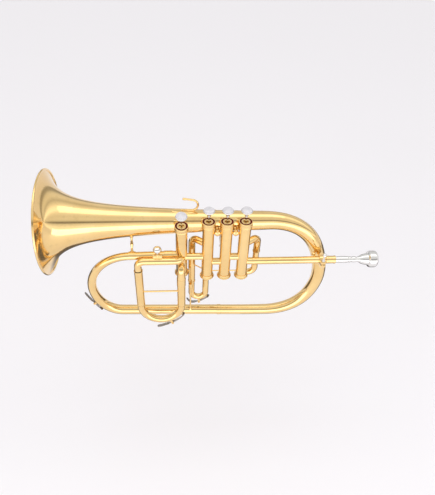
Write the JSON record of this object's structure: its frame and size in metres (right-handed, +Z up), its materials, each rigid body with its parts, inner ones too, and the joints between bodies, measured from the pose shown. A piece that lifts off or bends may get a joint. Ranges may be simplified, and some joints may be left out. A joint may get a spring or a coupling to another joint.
{
  "type": "flugelhorn",
  "caption": "Four-valve piston flugelhorn with wide conical bell, oval bows, valve slides with water keys, tuning leadpipe and mouthpiece.",
  "frame": {"origin": "centre of the bell's mouth, in the plane of its rim", "axes": "+X from the bell's mouth along the bell towards the player, +Y to the player's right, +Z up along the valves"},
  "size_m": [0.5158, 0.16, 0.2839],
  "materials": {
    "lacquered_brass": "polished, clear lacquer",
    "silver_plate": "polished silver plate",
    "pearl": "mother of pearl, polished",
    "red_felt": "dark red felt",
    "spring_steel": "drawn wire",
    "nickel_plate": "honed nickel plate",
    "nickel_lever": "worn nickel",
    "dark_cork": "cork pad"
  },
  "bodies": {
    "horn": {"bell": "lacquered_brass", "bell_rim_ring": "lacquered_brass", "bell_tail_ferrule": "lacquered_brass", "back_bow": "lacquered_brass", "bottom_ferrule": "lacquered_brass", "front_bow": "lacquered_brass", "exit_ferrule": "lacquered_brass", "front_key_saddle": "lacquered_brass", "leadpipe": "lacquered_brass", "leadpipe_clamp": "lacquered_brass", "leadpipe_brace": "lacquered_brass", "casing_1": "lacquered_brass", "casing_2": "lacquered_brass", "casing_3": "lacquered_brass", "casing_4": "lacquered_brass", "valve_knuckles": "lacquered_brass", "top_caps": "lacquered_brass", "bottom_caps": "lacquered_brass", "cap_felts": "red_felt", "slide_1_tubes": "lacquered_brass", "slide_2_tubes": "lacquered_brass", "slide_3_tubes": "lacquered_brass", "slide_4_tubes": "lacquered_brass", "slide_4_cross_brace": "lacquered_brass", "third_slide_post": "lacquered_brass", "bell_brace": "lacquered_brass", "valve_posts": "lacquered_brass", "tie_rods": "lacquered_brass", "finger_hook": "lacquered_brass", "lyre_socket": "lacquered_brass", "valve_spring_1": "spring_steel", "valve_spring_2": "spring_steel", "valve_spring_3": "spring_steel", "valve_spring_4": "spring_steel"},
    "valve_1": {"piston_1": "nickel_plate", "finger_button_1": "silver_plate", "button_pearl_1": "pearl"},
    "valve_2": {"piston_2": "nickel_plate", "finger_button_2": "silver_plate", "button_pearl_2": "pearl"},
    "valve_3": {"piston_3": "nickel_plate", "finger_button_3": "silver_plate", "button_pearl_3": "pearl"},
    "valve_4": {"piston_4": "nickel_plate", "finger_button_4": "silver_plate", "button_pearl_4": "pearl"},
    "slide_1": {"slide_1_crook": "lacquered_brass"},
    "slide_2": {"slide_2_crook": "lacquered_brass"},
    "slide_3": {"slide_3_crook": "lacquered_brass"},
    "slide_4": {"slide_4_crook": "lacquered_brass"},
    "front_key": {"front_water_key": "nickel_lever", "front_key_cork": "dark_cork"},
    "slide_3_key": {"slide_3_water_key": "nickel_lever", "slide_3_key_cork": "dark_cork"},
    "slide_4_key": {"slide_4_water_key": "nickel_lever", "slide_4_key_cork": "dark_cork"},
    "tuning": {"tuning_pipe": "lacquered_brass"},
    "mouthpiece": {"mouthpiece": "silver_plate"},
    "clamp_screw": {"clamp_screw": "silver_plate"},
    "lyre_screw": {"lyre_screw": "silver_plate"}
  },
  "joints": [
    {"name": "valve_1_press", "type": "slide", "parent": "horn", "child": "valve_1", "axis": [0, 0, 1], "range_m": [-0.013, 0], "stiffness_N_per_m": 150, "springref_m": 0.018, "deforming": ["valve_spring_1"]},
    {"name": "valve_2_press", "type": "slide", "parent": "horn", "child": "valve_2", "axis": [0, 0, 1], "range_m": [-0.013, 0], "stiffness_N_per_m": 150, "springref_m": 0.018, "deforming": ["valve_spring_2"]},
    {"name": "valve_3_press", "type": "slide", "parent": "horn", "child": "valve_3", "axis": [0, 0, 1], "range_m": [-0.013, 0], "stiffness_N_per_m": 150, "springref_m": 0.018, "deforming": ["valve_spring_3"]},
    {"name": "valve_4_press", "type": "slide", "parent": "horn", "child": "valve_4", "axis": [0, -0.153, 0.9882], "range_m": [-0.013, 0], "stiffness_N_per_m": 150, "springref_m": 0.018, "deforming": ["valve_spring_4"]},
    {"name": "slide_1_pull", "type": "slide", "parent": "horn", "child": "slide_1", "axis": [0, 0, -1], "range_m": [0, 0.012]},
    {"name": "slide_2_pull", "type": "slide", "parent": "horn", "child": "slide_2", "axis": [0, 1, 0], "range_m": [0, 0.015]},
    {"name": "slide_3_pull", "type": "slide", "parent": "horn", "child": "slide_3", "axis": [0, 0, -1], "range_m": [0, 0.008]},
    {"name": "slide_4_pull", "type": "slide", "parent": "horn", "child": "slide_4", "axis": [0, 0, -1], "range_m": [0, 0.03]},
    {"name": "tuning_pull", "type": "slide", "parent": "horn", "child": "tuning", "axis": [1, 0, 0], "range_m": [0, 0.025]},
    {"name": "mouthpiece_pull", "type": "slide", "parent": "tuning", "child": "mouthpiece", "axis": [1, 0, 0], "range_m": [0, 0.03]},
    {"name": "front_key_press", "type": "hinge", "parent": "horn", "child": "front_key", "pos_m": [0.0513, -0.0119, -0.1649], "axis": [0, 1, 0], "range_deg": [0, 7], "stiffness_Nm_per_rad": 0.08, "springref_deg": -20.05},
    {"name": "slide_3_key_press", "type": "hinge", "parent": "slide_3", "child": "slide_3_key", "pos_m": [0.22958, -0.0086, -0.16987], "axis": [0, 1, 0], "range_deg": [0, 7], "stiffness_Nm_per_rad": 0.08, "springref_deg": -20.05},
    {"name": "slide_4_key_press", "type": "hinge", "parent": "slide_4", "child": "slide_4_key", "pos_m": [0.18389, -0.0395, -0.18807], "axis": [0, 1, 0], "range_deg": [0, 7], "stiffness_Nm_per_rad": 0.08, "springref_deg": -20.05},
    {"name": "clamp_screw_turn", "type": "hinge", "parent": "horn", "child": "clamp_screw", "pos_m": [0.4242, -0.0364, -0.0605], "axis": [0, 0, 1], "range_deg": [0, 180]},
    {"name": "lyre_screw_turn", "type": "hinge", "parent": "horn", "child": "lyre_screw", "pos_m": [0.1635, -0.0368, -0.0388], "axis": [0, 0, 1], "range_deg": [0, 180]}
  ]
}
